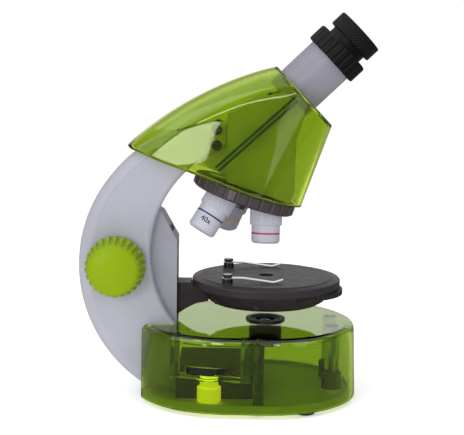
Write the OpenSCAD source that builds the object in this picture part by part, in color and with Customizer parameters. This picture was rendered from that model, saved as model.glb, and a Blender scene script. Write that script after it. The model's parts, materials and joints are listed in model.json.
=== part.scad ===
// Toy compound microscope: clear drum base with a lamp, C-shaped arm, rack-driven round stage,
// tilted three-objective nosepiece under a clear hood, and an inclined twist-zoom eyepiece.
// Millimetres. The origin is on the table under the optical axis; +X points to the user, +Z up.

/* [Base] */
// Radius of the drum's two round ends at mid height
base_r = 52; // [50:0.5:54]
// Distance between the centres of the two round ends
base_stretch = 22; // [20:0.5:24]
// Distance from the optical axis to the drum's flat back
base_back = 70.5; // [70:0.5:71]
// Height of the drum's lower edge above the table
base_bottom = 2.5; // [2.5:0.1:3]
// Height of the drum's top face
base_top = 44.3; // [44:0.1:44.6]
// Wall of the clear drum
base_wall = 2.2; // [1.8:0.1:2.4]
// Radius of the drum's rounded top edge
base_round = 4; // [3.5:0.5:4.5]

/* [Arm] */
// Half of the arm's thickness across
arm_half = 17; // [16.5:0.5:17]
// Radius of the arm's outer curve
arm_outer_r = 82.4; // [82:0.2:83]
// Radius of the arm's inner curve
arm_inner_r = 64.5; // [64:0.2:65]
// Wall of the two arm shells
arm_wall = 2.2; // [2:0.1:2.4]
// Width of the bevel along the arm's outer edge
arm_bevel = 6.5; // [6:0.5:7]

/* [Focus] */
// Largest radius of a focus knob
knob_r = 17; // [16:0.5:18]
// Number of flutes round a focus knob
knob_flutes = 26; // [20:1:30]
// Number of teeth on the pinion
pinion_teeth = 15; // [15:1:15]
// Gear module of the pinion and rack
gear_module = 0.8; // [0.8:0.1:0.8]
// Radial clearance of running shafts
running_gap = 0.05; // [0.02:0.01:0.08]

/* [Stage] */
// Outer radius of the stage
stage_r = 42.5; // [42:0.5:43]
// Height of the stage's top face
stage_top = 70.3; // [70:0.1:70.6]
// Radius of the light hole in the stage
stage_hole_r = 4.3; // [3:0.1:5]
// Distance of each clip post from the stage's middle line
clip_y = 24; // [22:0.5:25]
// Radius of the diaphragm wheel
wheel_r = 27.2; // [27:0.1:27.4]

/* [Nosepiece] */
// Tilt of the nosepiece's axis from the vertical
nose_tilt = 18.35; // [18:0.05:18.5]
// Radius of the nosepiece disc
nose_r = 30; // [29:0.5:30]
// Thickness of the nosepiece disc
nose_h = 7; // [6.5:0.1:7.2]
// Turn of the nosepiece past its click stop
nose_turn = 18; // [0:1:20]
// Lengths of the short, middle and long objectives
objective_lengths = [19.6, 21.5, 23.9];

/* [Eyepiece] */
// Tilt of the eyepiece above the horizontal
eye_tilt = 44; // [43:0.5:45]
// Radius of the eyepiece tube
tube_r = 14.25; // [14:0.25:14.5]
// Radius of the fluted zoom ring
ring_r = 17; // [16.5:0.5:17.5]
// Radius of the eyecup
cup_r = 14.55; // [14:0.05:15]

/* [Hidden] */
$fn = 96;

small = 0.01;          // overshoot of a cut past the face it cuts
slack = 0.3;           // gap kept between faces of different moving bodies

// Arm curves, as centres in the X-Z plane
arm_outer_c = [-24.6, 76.4];
arm_inner_c = [-1.4, 84.9];
arm_foot_x = -51;      // front of the arm's foot and of the column
arm_end_x = -24;       // where the arm ends inside the hood

// Screws that join the arm's shells, and those that hold the head, in X and Z
arm_boss_xz = [[-62, 20], [-96, 52], [-98, 98], [-78, 124]];
head_screw_xz = [[-29, 155.5], [-29, 146.5]];

// Focus train
knob_axis = [-85, 78]; // X and Z of the focus shaft
shaft_r = 2.5;
pitch_r = pinion_teeth * gear_module / 2;
rack_x = knob_axis[0] + pitch_r;
knob_back = 19;        // distance of a knob's back from the middle plane
rod_x = -60;
rod_y = 5;
rod_r = 1.5;
column_half = 11;
column_wall = 2.6;

// Stage
cup_floor = 55.5;
cup_top = 65;
skirt_bottom = 65;
wheel_c = [16.5, -5.5];
wheel_z = 61.8;
wheel_h = 2.8;
wheel_hole_at = norm(wheel_c);
wheel_start = atan2(-wheel_c[1], -wheel_c[0]);
stop_r = [4.5, 2.5, 1.2];
cup_screw_at = 33;
cup_screw_angles = [100, 145, 215, 260];
post_x = -22;

// Dimmer
dimmer_c = [-31.2, -37.2];
dimmer_r = 14.5;
dimmer_z = 24.3;
dimmer_h = 3;
pot_r = 6.6;

plate_thick = 2.5;
bracket_z = 19;
bracket_thick = 1.2;

// Base fasteners: drum screws in bosses from the top face, then bracket posts
boss_xy = [[-4, -45], [-4, 45], [38, -12], [38, 12]];
long_boss_z = 6;       // where the two long bosses end
short_boss_z = 17;     // where the two short bosses meet their posts
bracket_xy = [[-50, -35.6], [-11.5, -45.6]];
foot_xy = [[-46, -33], [-46, 33], [22, -38], [22, 38], [2, 0]];  // the last is the middle pad

// Nosepiece: middle of the disc's lower face, and the radius at which objectives cross it
nose_p = [-14.47, 0, 114.27];
nose_flutes = 27;
nose_ring_r = -nose_p[0] / cos(nose_tilt);

// Eyepiece: height at which its axis meets the optical axis, and distances along it
mirror_z = 161.6;
face_s = 22.7;
ring_s = 46.8;
ring_long = 10.5;
neck_r = 11.8;
cup_s = 61.6;
cup_long = 8.8;

// Hood
hood_wall = 2;
hood_top_c = [51.8, 1.1];
hood_top_r = 195.4;
rim_r = 31;

// ---------------------------------------------------------------- shared shapes

// A cylinder along +Y from y0 to y1, at a place in the X-Z plane
module along_y(xz, r, y0, y1) {
    translate([xz[0], y0, xz[1]])
        rotate([-90, 0, 0])
            cylinder(r = r, h = y1 - y0);
}

// An X-Z outline given thickness from y0 to y1
module slab_y(y0, y1) {
    translate([0, y1, 0])
        rotate([90, 0, 0])
            linear_extrude(y1 - y0)
                children();
}

// A pan-head screw whose head sits below z = 0 and whose shank points up
module screw(head_r, shank_r, long) {
    difference() {
        union() {
            translate([0, 0, -1.6])
                cylinder(r = head_r, h = 1.6);
            translate([0, 0, -0.1])
                cylinder(r = shank_r, h = long);
        }
        for (a = [0, 90])
            rotate([0, 0, a])
                translate([-head_r * 0.6, -0.35, -1.61])
                    cube([head_r * 1.2, 0.7, 0.9]);
    }
}

// A frame whose +Z runs up the eyepiece's axis from the mirror
module on_eyepiece() {
    translate([0, 0, mirror_z])
        rotate([0, 90 - eye_tilt, 0])
            children();
}

// A frame whose origin is the middle of the disc's lower face, with +Z up the nosepiece's axis
module on_nosepiece() {
    translate(nose_p)
        rotate([0, nose_tilt, 0])
            rotate([0, 0, -nose_turn])
                children();
}

// A frame for objective number i, with +Z up its own axis and the disc's lower face at z = 0
module on_objective(i) {
    on_nosepiece()
        rotate([0, 0, -120 * i])
            translate([nose_ring_r, 0, 0])
                rotate([0, -nose_tilt, 0])
                    children();
}

// ---------------------------------------------------------------- base

// Height at which a drum boss meets the base plate's post
function boss_z(p) = p[0] > 0 ? short_boss_z : long_boss_z;

// The drum's half section: tapered wall, rounded top edge
module drum_section(inset) {
    r_low = base_r + 0.6 - inset;
    r_top = base_r - 0.7 - inset;
    top = base_top - inset;
    bottom = inset > 0 ? base_bottom - 1 : base_bottom;
    fillet = base_round - inset;
    polygon(concat(
        [[0, bottom], [r_low, bottom]],
        [for (a = [0:15:90]) [r_top - fillet + fillet * cos(a), top - fillet + fillet * sin(a)]],
        [[0, top]]
    ));
}

// A half section swept round the drum: two half rounds, the straight part between them, a flat back
module round_drum(back_x) {
    intersection() {
        union() {
            rotate([0, 0, -90])
                rotate_extrude(angle = 180)
                    children();
            translate([-base_stretch, 0, 0])
                rotate([0, 0, 90])
                    rotate_extrude(angle = 180)
                        children();
            for (side = [0, 1])
                mirror([0, side, 0])
                    translate([-base_stretch, 0, 0])
                        rotate([90, 0, 90])
                            linear_extrude(base_stretch)
                                children();
        }
        translate([back_x, -80, 0])
            cube([160, 160, 60]);
    }
}

// The drum as a solid, shrunk by inset
module drum_solid(inset) {
    round_drum(-base_back + inset)
        drum_section(inset);
}

module base_shell() {
    color([0.48, 0.66, 0.12, 0.5])
        difference() {
            union() {
                difference() {
                    drum_solid(0);
                    drum_solid(base_wall);
                }
                for (p = boss_xy)
                    translate([p[0], p[1], boss_z(p)])
                        cylinder(r = p[0] > 0 ? 4 : 3, h = base_top - 1 - boss_z(p));
                for (p = bracket_xy)
                    translate([p[0], p[1], bracket_z + bracket_thick])
                        cylinder(r = 2.6, h = base_top - 1 - bracket_z - bracket_thick);
            }
            // slot for the arm and the column
            translate([-base_back - 5, -arm_half - slack, 6.2])
                cube([base_back + 5 + arm_foot_x + slack, 2 * (arm_half + slack), 60]);
            // hole for the condenser
            translate([0, 0, base_top - 6])
                cylinder(r = 9.6, h = 8);
            // slot for the dimmer wheel
            translate([dimmer_c[0], dimmer_c[1], dimmer_z - 0.6])
                cylinder(r = dimmer_r + 0.5, h = dimmer_h + 1.2);
            // pilot holes of the bosses
            for (p = boss_xy)
                translate([p[0], p[1], 5])
                    cylinder(r = 1.4, h = p[0] > 0 ? 22 : 12);
            for (p = bracket_xy)
                translate([p[0], p[1], 19])
                    cylinder(r = 1.1, h = 8);
        }
}

module base_plate() {
    plate_r = base_r - base_wall;
    top = base_bottom + plate_thick;
    color([0.16, 0.16, 0.17])
        difference() {
            union() {
                // plate with an upstand that locates the drum
                round_drum(-base_back + base_wall + 0.2)
                    polygon([
                        [0, base_bottom], [plate_r, base_bottom], [plate_r, top + 2],
                        [plate_r - 1.8, top + 2], [plate_r - 1.8, top], [0, top]
                    ]);
                for (p = boss_xy)
                    translate([p[0], p[1], base_bottom + 1])
                        cylinder(r = p[0] > 0 ? 5.5 : 4, h = boss_z(p) - base_bottom - 1);
            }
            for (p = boss_xy) {
                translate([p[0], p[1], 0])
                    cylinder(r = 1.7, h = 30);
                translate([p[0], p[1], 0])
                    cylinder(r = 3.2, h = base_bottom + 1.7);
            }
            for (p = foot_xy)
                translate([p[0], p[1], 0])
                    cylinder(r = 5, h = base_bottom + 1);
            // opening over the battery box
            translate([-47.5, -27, 0])
                cube([42, 54, 6]);
            // the arm's foot stands in this recess
            translate([-base_back - 5, -arm_half - slack, top - 0.2])
                cube([base_back + 5 + arm_foot_x + slack, 2 * (arm_half + slack), 6]);
        }
}

module battery_box() {
    color([0.13, 0.13, 0.14])
        difference() {
            translate([-50, -30, 5])
                cube([47, 60, 13.9]);
            for (i = [0:2])
                translate([-49 + 15 * i, -28, 2])
                    cube([14.8, 56, 16.1]);
        }
}

module battery_door() {
    color([0.18, 0.18, 0.19])
        difference() {
            union() {
                translate([-47.3, -26.8, base_bottom + 0.1])
                    cube([41.6, 53.6, 1.1]);
                translate([-29, 26, base_bottom + 0.1])
                    cube([6, 0.9, 1.1]);
            }
            for (i = [-3:3])
                translate([-40, i * 2.4 - 18, base_bottom - 1])
                    cube([27, 1, 1.5]);
        }
}

module batteries() {
    color([0.75, 0.55, 0.2])
        for (i = [0:2])
            translate([-41.6 + 15 * i, 0, 10.9])
                rotate([90, 0, 0])
                    mirror([0, 0, i % 2])
                        union() {
                            translate([0, 0, -24.6])
                                cylinder(r = 7, h = 49);
                            translate([0, 0, 24.3])
                                cylinder(r = 2.7, h = 1.5);
                        }
}

module battery_contacts() {
    color([0.8, 0.8, 0.78])
        for (i = [0:2])
            for (side = [-1, 1])
                translate([-41.6 + 15 * i, side * 27.7, 10.9])
                    rotate([90, 0, 0])
                        translate([-5, -5, -0.25])
                            cube([10, 10, 0.5]);
}

module rubber_feet() {
    color([0.08, 0.08, 0.08])
        for (p = foot_xy)
            translate([p[0], p[1], 0])
                union() {
                    cylinder(r1 = 5.4, r2 = 6, h = base_bottom - 0.1);
                    cylinder(r = 4.9, h = base_bottom + 0.9);
                }
}

module base_screws() {
    color([0.75, 0.75, 0.77])
        for (p = boss_xy)
            translate([p[0], p[1], base_bottom + 1.7])
                screw(3, 1.4, 11);
}

// ---------------------------------------------------------------- lamp and dimmer

module led_board() {
    color([0.1, 0.35, 0.2])
        difference() {
            translate([0, 0, 30])
                cylinder(r = 9.3, h = 1.2);
            for (side = [-1, 1])
                translate([side * 2, 0, 29])
                    cylinder(r = 0.6, h = 3);
        }
}

module lamp() {
    color([0.95, 0.95, 0.85])
        union() {
            translate([0, 0, 31.2])
                cylinder(r = 2.9, h = 1);
            translate([0, 0, 32.1])
                cylinder(r = 2.5, h = 3.5);
            intersection() {
                translate([0, 0, 35.4])
                    sphere(r = 2.45);
                translate([-3, -3, 35.4])
                    cube([6, 6, 3]);
            }
        }
}

module condenser_ring() {
    color([0.07, 0.07, 0.07])
        difference() {
            union() {
                translate([0, 0, 31.2])
                    cylinder(r = 9.4, h = base_top - 31.2);
                translate([0, 0, base_top])
                    cylinder(r = 11.35, h = 0.9);
            }
            translate([0, 0, 31])
                cylinder(r = 7.4, h = 9.5);
            translate([0, 0, 40])
                cylinder(r = 6, h = 8);
            translate([0, 0, base_top + 0.3])
                cylinder(r = 8.4, h = 2);
        }
}

module condenser_lens() {
    color([0.85, 0.92, 0.95, 0.5])
        intersection() {
            translate([0, 0, 41])
                cylinder(r = 5.98, h = 4);
            translate([0, 0, 44.2 - 9])
                sphere(r = 9);
        }
}

module dimmer_bracket() {
    run = bracket_xy[1] - bracket_xy[0];
    color([0.7, 0.8, 0.35, 0.5])
        difference() {
            union() {
                translate([dimmer_c[0], dimmer_c[1], bracket_z])
                    cylinder(r = 8.5, h = bracket_thick);
                for (p = bracket_xy)
                    translate([p[0], p[1], bracket_z])
                        cylinder(r = 3, h = bracket_thick);
                translate([bracket_xy[0][0], bracket_xy[0][1], bracket_z])
                    rotate([0, 0, atan2(run[1], run[0])])
                        translate([0, -2.4, 0])
                            cube([norm(run), 8, bracket_thick]);
            }
            translate([dimmer_c[0], dimmer_c[1], 18])
                cylinder(r = 3, h = 4);
            for (p = bracket_xy)
                translate([p[0], p[1], 18])
                    cylinder(r = 1.1, h = 4);
        }
}

module dimmer_pot() {
    color([0.7, 0.8, 0.15])
        translate([dimmer_c[0], dimmer_c[1], 0])
            difference() {
                union() {
                    translate([0, 0, 6.5])
                        cylinder(r = pot_r, h = 7.5);
                    translate([0, 0, 13.9])
                        cylinder(r = pot_r - 1.5, h = 5.1);
                    translate([0, 0, 18.9])
                        cylinder(r = 2.95, h = 1.6);
                }
                translate([0, 0, 12])
                    cylinder(r = 1.5 + running_gap, h = 12);
            }
}

module dimmer_wheel() {
    color([0.1, 0.1, 0.1])
        translate([dimmer_c[0], dimmer_c[1], 0])
            difference() {
                union() {
                    translate([0, 0, dimmer_z])
                        cylinder(r = dimmer_r, h = dimmer_h);
                    translate([0, 0, dimmer_z - 3])
                        cylinder(r = 4, h = 3.1);
                    translate([0, 0, 13])
                        cylinder(r = 1.5, h = dimmer_z - 12);
                }
                for (i = [0:47])
                    rotate([0, 0, i * 7.5])
                        translate([dimmer_r + 0.15, 0, dimmer_z - 1])
                            cylinder(r = 0.45, h = dimmer_h + 2);
            }
}

// A thin insulated wire through a list of points, each run reaching a little past its ends
module wire(points, r) {
    for (i = [0:len(points) - 2]) {
        run = points[i + 1] - points[i];
        translate(points[i])
            rotate([0, acos(run[2] / norm(run)), atan2(run[1], run[0])])
                translate([0, 0, -r])
                    cylinder(r = r, h = norm(run) + 2 * r, $fn = 24);
    }
}

module wiring() {
    color([0.05, 0.05, 0.06]) {
        wire([[-20, -32, 12], [-20, -34, 22], [-8, -26, 26], [-2, -12, 28], [-2, 0, 28.5], [-2, 0, 30.5]], 0.55);
        wire([[-8, 31, 12], [-8, 31, 20], [2, 14, 27], [2, 0, 28.5], [2, 0, 30.5]], 0.55);
        wire([[-23.5, -37.2, 10], [-20.5, -34, 11], [-18, -31.3, 12]], 0.55);
    }
}

// ---------------------------------------------------------------- arm and column

// The arm's outer curve as a solid of revolution on the -Y side: a rounded bevel with a fine lip
module arm_outer_solid(inset) {
    r = arm_outer_r - inset;
    half = arm_half - inset;
    translate([arm_outer_c[0], 0, arm_outer_c[1]])
        rotate([90, 0, 0])
            rotate_extrude($fn = 180)
                polygon([
                    [0, -small], [r, -small], [r, half - 7], [r - 0.9, half - 4.8], [r - 2.6, half - 3],
                    [r - 4.6, half - 1.6], [r - arm_bevel, half - 0.6], [r - arm_bevel - 0.3, half], [0, half]
                ]);
}

// The round gap inside the C, flared by the arm's rounded inner edge
module arm_inner_solid(inset) {
    r = arm_inner_r + inset;
    round = 2.5;
    translate([arm_inner_c[0], 0, arm_inner_c[1]])
        rotate([90, 0, 0])
            rotate_extrude($fn = 180)
                polygon(concat(
                    [[0, -1], [r, -1]],
                    [for (a = [0:22.5:90]) [r + round * (1 - cos(a)), arm_half - round + round * sin(a)]],
                    [[r + round, arm_half + 1], [0, arm_half + 1]]
                ));
}

// The C of one arm half between its end in the hood and its foot in the base
module arm_body(inset) {
    difference() {
        intersection() {
            arm_outer_solid(inset);
            union() {
                translate([-120, -20, 46])
                    cube([120 + arm_end_x - inset, 21, 130]);
                translate([-120, -20, 5.2 + inset])
                    cube([120 + arm_foot_x - inset, 21, 60]);
            }
        }
        arm_inner_solid(inset);
    }
}

// One half of the arm as a shell, on the -Y side
module arm_half_shell() {
    difference() {
        intersection() {
            arm_body(0);
            translate([-120, -20, 0])
                cube([120, 20, 180]);
        }
        difference() {
            arm_body(arm_wall);
            // bosses of the screws that join the halves
            for (p = arm_boss_xz)
                along_y(p, 3.4, -arm_half, 1);
            // ring of material round the focus bush
            along_y(knob_axis, 6.5, -arm_half, -arm_half + 7);
        }
        // window for the column and the rack
        translate([-80, -column_half - 0.1, 40])
            cube([80 + arm_foot_x + 5, 12 + column_half, 70]);
        // seat of the focus bush
        along_y(knob_axis, 4, -arm_half - 1, 0);
        // pilot holes of the bosses
        for (p = arm_boss_xz)
            along_y(p, 1.3, -arm_half + 1.6, 2);
        // seat of the head block's tongue
        translate([-52, -12.1, 132])
            cube([60, 14, 40]);
        for (p = head_screw_xz)
            along_y(p, 1.6, -arm_half - 1, 1);
    }
}

module arm_left() {
    color([0.7, 0.7, 0.76])
        arm_half_shell();
}

module arm_right() {
    color([0.7, 0.7, 0.76])
        difference() {
            mirror([0, 1, 0])
                arm_half_shell();
            for (p = arm_boss_xz)
                along_y(p, 1.6, -1, arm_half + 1);
            for (p = arm_boss_xz)
                along_y(p, 3, arm_half - 3, arm_half + 1);
        }
}

module arm_screws() {
    color([0.6, 0.6, 0.62])
        for (p = arm_boss_xz)
            translate([p[0], arm_half - 3, p[1]])
                rotate([90, 0, 0])
                    screw(2.8, 1.3, 24);
}

module column_cover() {
    color([0.66, 0.66, 0.71])
        difference() {
            slab_y(-column_half, column_half)
                polygon([
                    [arm_foot_x, 41], [arm_foot_x, 91.6], [-59.6, 106.7],
                    [-64, 109], [-70, 100], [-70, 41]
                ]);
            // hollow for the carriage, open behind to the pinion
            translate([-80, -column_half + column_wall, 44])
                cube([80 + arm_foot_x - column_wall, 2 * (column_half - column_wall), 55]);
            // slot in the front for the stage's bracket
            translate([arm_foot_x - 5, -column_half + column_wall, 44])
                cube([10, 2 * (column_half - column_wall), 36]);
            // seats of the guide rods
            for (side = [-1, 1])
                translate([rod_x, side * rod_y, 42])
                    cylinder(r = rod_r, h = 60);
        }
}

module guide_rods() {
    color([0.8, 0.8, 0.82])
        for (side = [-1, 1])
            translate([rod_x, side * rod_y, 42.1])
                cylinder(r = rod_r, h = 59.5);
}

module focus_bushes() {
    color([0.75, 0.6, 0.35])
        for (side = [0, 1])
            mirror([0, side, 0])
                difference() {
                    union() {
                        along_y(knob_axis, 4, -arm_half - 0.6, -arm_half + 8);
                        along_y(knob_axis, 5.5, -arm_half - 1.2, -arm_half);
                    }
                    along_y(knob_axis, shaft_r + running_gap, -arm_half - 2, 0);
                }
}

// ---------------------------------------------------------------- focus train

module focus_shaft() {
    color([0.8, 0.8, 0.82])
        along_y(knob_axis, shaft_r, -35, 35);
}

module focus_pinion() {
    tip_r = pitch_r + gear_module * 0.8;
    root_r = pitch_r - gear_module;
    step = 360 / pinion_teeth;
    color([0.75, 0.6, 0.35])
        translate([knob_axis[0], 4, knob_axis[1]])
            rotate([90, 0, 0])
                difference() {
                    linear_extrude(8)
                        polygon([
                            for (i = [0:pinion_teeth - 1])
                                for (t = [[-0.30, root_r], [-0.12, tip_r], [0.12, tip_r], [0.30, root_r]])
                                    [t[1] * cos((i + t[0]) * step), t[1] * sin((i + t[0]) * step)]
                        ]);
                    translate([0, 0, -1])
                        cylinder(r = shaft_r, h = 10);
                }
}

// A fluted knob on the -Y side
module knob() {
    difference() {
        translate([knob_axis[0], -knob_back, knob_axis[1]])
            rotate([90, 0, 0])
                difference() {
                    rotate_extrude()
                        polygon(concat(
                            [[0, 0], [knob_r, 0], [knob_r, 7], [knob_r - 1, 8.5], [knob_r - 2.4, 15.5]],
                            [for (a = [0:15:90]) [(knob_r - 3.2) * cos(a), 16.2 + 3.2 * sin(a)]]
                        ));
                    // hollow back round the hub
                    difference() {
                        translate([0, 0, -1])
                            cylinder(r = knob_r - 2.6, h = 8);
                        translate([0, 0, -2])
                            cylinder(r = 6, h = 10);
                    }
                    for (i = [0:knob_flutes - 1])
                        rotate([0, 0, i * 360 / knob_flutes])
                            translate([knob_r + 0.5, 0, -1])
                                rotate([0, -8, 0])
                                    cylinder(r = 1.1, h = 19, $fn = 24);
                }
        along_y(knob_axis, shaft_r, -35.01, 0);
    }
}

module knob_left() {
    color([0.62, 0.75, 0.05])
        knob();
}

module knob_right() {
    color([0.62, 0.75, 0.05])
        mirror([0, 1, 0])
            knob();
}

// ---------------------------------------------------------------- stage

module stage_carriage() {
    color([0.15, 0.15, 0.16])
        difference() {
            translate([-74, -8, 47])
                cube([20.2, 16, 37]);
            for (side = [-1, 1])
                translate([rod_x, side * rod_y, 40])
                    cylinder(r = rod_r + running_gap, h = 60);
        }
}

module stage_rack() {
    depth = gear_module * 1.8;
    pitch = PI * gear_module;
    face_x = rack_x + gear_module;
    color([0.75, 0.6, 0.35])
        translate([0, 4, 0])
            rotate([90, 0, 0])
                linear_extrude(8)
                    polygon(concat(
                        [[-74, 62], [-74, 84], [face_x, 84]],
                        [
                            for (i = [1:-1:-6])
                                for (t = [[0.30, 0], [0.12, -1], [-0.12, -1], [-0.30, 0]])
                                    [face_x + t[1] * depth, knob_axis[1] + (i + 0.5 + t[0]) * pitch]
                        ],
                        [[face_x, 62]]
                    ));
}

// The outside of the cup under the stage
module cup_outer() {
    rotate_extrude()
        polygon([[0, cup_floor], [31, cup_floor], [33.7, cup_floor + 1.6], [36.5, 62], [37.6, cup_top], [0, cup_top]]);
}

module stage_bracket() {
    color([0.13, 0.12, 0.13])
        difference() {
            union() {
                slab_y(-7.8, 7.8)
                    polygon([
                        [-53.8, 48], [-50.3, 48.5], [-45.8, 51.6], [-40, 54.6], [-33, 56],
                        [-30, 64.8], [-43, 64.8], [-43.2, 66.5], [-53.8, 66.5]
                    ]);
                slab_y(-10, 10)
                    polygon([[-49, 62], [-30, 62], [-30, 64.8], [-43, 64.8], [-43.2, 66], [-49, 66]]);
            }
            cup_outer();
            translate([0, 0, 50])
                cylinder(r = 33.8, h = 20);
        }
}

module stage_plate() {
    color([0.1, 0.1, 0.1])
        difference() {
            rotate_extrude()
                polygon([
                    [stage_hole_r, 67.6], [stage_hole_r, stage_top], [37.4, stage_top], [37.6, 70.05],
                    [stage_r - 0.4, 69.2], [stage_r, 68.6], [stage_r, skirt_bottom], [40.4, skirt_bottom],
                    [40.4, 67.6]
                ]);
            for (side = [-1, 1])
                translate([post_x, side * clip_y, 60])
                    cylinder(r = 1.5, h = 20);
            for (a = cup_screw_angles)
                rotate([0, 0, a])
                    translate([cup_screw_at, 0, 67])
                        cylinder(r = 1.2, h = 2.2);
        }
}

module stage_cup() {
    color([0.12, 0.11, 0.12])
        difference() {
            union() {
                difference() {
                    cup_outer();
                    translate([0, 0, cup_floor + 2])
                        cylinder(r = 32, h = 12);
                    translate([0, 0, 61])
                        cylinder(r = 34.4, h = 12);
                }
                for (a = cup_screw_angles)
                    rotate([0, 0, a])
                        translate([cup_screw_at, 0, cup_floor + 1.5])
                            cylinder(r = 2.2, h = 67.6 - cup_floor - 1.5);
                translate([wheel_c[0], wheel_c[1], cup_floor])
                    cylinder(r = 4, h = wheel_z - slack - cup_floor);
            }
            // way out for the wheel's rim
            translate([wheel_c[0], wheel_c[1], wheel_z - slack])
                cylinder(r = wheel_r + slack, h = 10);
            // light hole
            translate([0, 0, cup_floor - 1])
                cylinder(r = 10, h = 4);
            translate([wheel_c[0], wheel_c[1], cup_floor + 2])
                cylinder(r = 2, h = 12);
            for (a = cup_screw_angles)
                rotate([0, 0, a])
                    translate([cup_screw_at, 0, cup_floor - 1]) {
                        cylinder(r = 1.2, h = 16);
                        cylinder(r = 2, h = 4.6);
                    }
        }
}

module stage_screws() {
    color([0.6, 0.6, 0.62])
        for (a = cup_screw_angles)
            rotate([0, 0, a])
                translate([cup_screw_at, 0, cup_floor + 3.6])
                    screw(1.9, 1.2, 9.5);
}

module clip_posts() {
    color([0.7, 0.7, 0.72])
        for (side = [-1, 1])
            translate([post_x, side * clip_y, 0])
                union() {
                    translate([0, 0, 67.6])
                        cylinder(r = 1.5, h = 7);
                    translate([0, 0, stage_top])
                        cylinder(r = 3, h = 2.2);
                    translate([0, 0, 73.6])
                        cylinder(r = 2.7, h = 1.5);
                }
}

// A sprung steel strip that turns on its post at the origin
module clip_strip() {
    lift = 72.75;
    touch = stage_top + 0.3;
    difference() {
        union() {
            translate([0, 0, lift])
                cylinder(r = 3.2, h = 0.5);
            slab_y(-2.2, 2.2)
                polygon([
                    [1, lift], [9, lift], [24.5, touch + 0.1], [25.5, touch], [26.5, touch + 0.1],
                    [31.2, touch + 1.6], [31, touch + 2.1], [26.3, touch + 0.6], [25.5, touch + 0.5],
                    [24.7, touch + 0.6], [9.1, lift + 0.5], [1, lift + 0.5]
                ]);
        }
        translate([0, 0, 70])
            cylinder(r = 1.5 + running_gap, h = 6);
    }
}

module clip_left() {
    color([0.75, 0.75, 0.77])
        translate([post_x, -clip_y, 0])
            clip_strip();
}

module clip_right() {
    color([0.75, 0.75, 0.77])
        translate([post_x, clip_y, 0])
            clip_strip();
}

module wheel_axle() {
    color([0.7, 0.7, 0.72])
        translate([wheel_c[0], wheel_c[1], 0])
            union() {
                translate([0, 0, cup_floor + 2])
                    cylinder(r = 2, h = wheel_z + wheel_h + 1.4 - cup_floor - 2);
                translate([0, 0, wheel_z + wheel_h + slack])
                    cylinder(r = 3.4, h = 1.4);
            }
}

module diaphragm_wheel() {
    color([0.12, 0.12, 0.12])
        translate([wheel_c[0], wheel_c[1], wheel_z])
            difference() {
                cylinder(r = wheel_r, h = wheel_h);
                translate([0, 0, -1])
                    cylinder(r = 2 + running_gap, h = 5);
                // three stops and three seats for colour filters; one stop is under the light hole
                for (i = [0:5])
                    rotate([0, 0, wheel_start + i * 60])
                        translate([wheel_hole_at, 0, -1])
                            cylinder(r = i % 2 == 0 ? stop_r[i / 2] : 4, h = 5);
                for (i = [1:2:5])
                    rotate([0, 0, wheel_start + i * 60])
                        translate([wheel_hole_at, 0, wheel_h - 0.8])
                            cylinder(r = 5.4, h = 2);
                for (i = [0:59])
                    rotate([0, 0, i * 6])
                        translate([wheel_r + 0.25, 0, -1])
                            cylinder(r = 0.75, h = 5, $fn = 16);
            }
}

module colour_filters() {
    color([0.3, 0.5, 0.9, 0.6])
        translate([wheel_c[0], wheel_c[1], wheel_z])
            for (i = [1:2:5])
                rotate([0, 0, wheel_start + i * 60])
                    translate([wheel_hole_at, 0, wheel_h - 0.8])
                        cylinder(r = 5.35, h = 0.7);
}

// ---------------------------------------------------------------- head

// A frame on the mirror's face, with +Z along its normal between the two light paths
module on_mirror() {
    translate([0, 0, mirror_z])
        rotate([0, 90 + (90 - eye_tilt) / 2, 0])
            children();
}

module head_block() {
    color([0.72, 0.72, 0.76])
        difference() {
            union() {
                slab_y(-16.5, 16.5)
                    polygon([
                        [-23.5, 126.2], [11, 114.6], [14, 121], [15, 150], [20, 165],
                        [8, 176.5], [-6, 173], [-23.5, 163]
                    ]);
                slab_y(-12, 12)
                    polygon([[-45, 143], [-33, 133], [-23.4, 129], [-23.4, 157.5], [-45, 152]]);
            }
            // vertical light path
            translate([0, 0, 100])
                cylinder(r = 7.5, h = mirror_z - 100);
            // inclined light path and the tube's seat
            on_eyepiece() {
                cylinder(r = 9.5, h = 60);
                translate([0, 0, 14])
                    cylinder(r = tube_r, h = 40);
            }
            on_mirror()
                translate([-13, -13, -6])
                    cube([26, 26, 8]);
            on_nosepiece()
                translate([0, 0, -20])
                    cylinder(r = 3, h = 42);
            for (p = head_screw_xz)
                along_y(p, 1.3, -20, 20);
        }
}

module mirror_holder() {
    color([0.1, 0.1, 0.1])
        on_mirror()
            difference() {
                translate([-12.5, -12.5, -5.5])
                    cube([25, 25, 5]);
                translate([-10.5, -11.5, -2.1])
                    cube([21, 23, 5]);
            }
}

module fold_mirror() {
    color([0.9, 0.92, 0.94])
        on_mirror()
            translate([-10.4, -11.4, -2.1])
                cube([20.8, 22.8, 2.1]);
}

module head_screws() {
    color([0.12, 0.12, 0.12])
        for (p = head_screw_xz)
            for (side = [0, 1])
                mirror([0, side, 0])
                    translate([p[0], -arm_half, p[1]])
                        rotate([-90, 0, 0])
                            screw(2.9, 1.3, 14);
}

function hood_top(x) = hood_top_c[1] + sqrt(hood_top_r * hood_top_r - pow(x - hood_top_c[0], 2));

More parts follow.
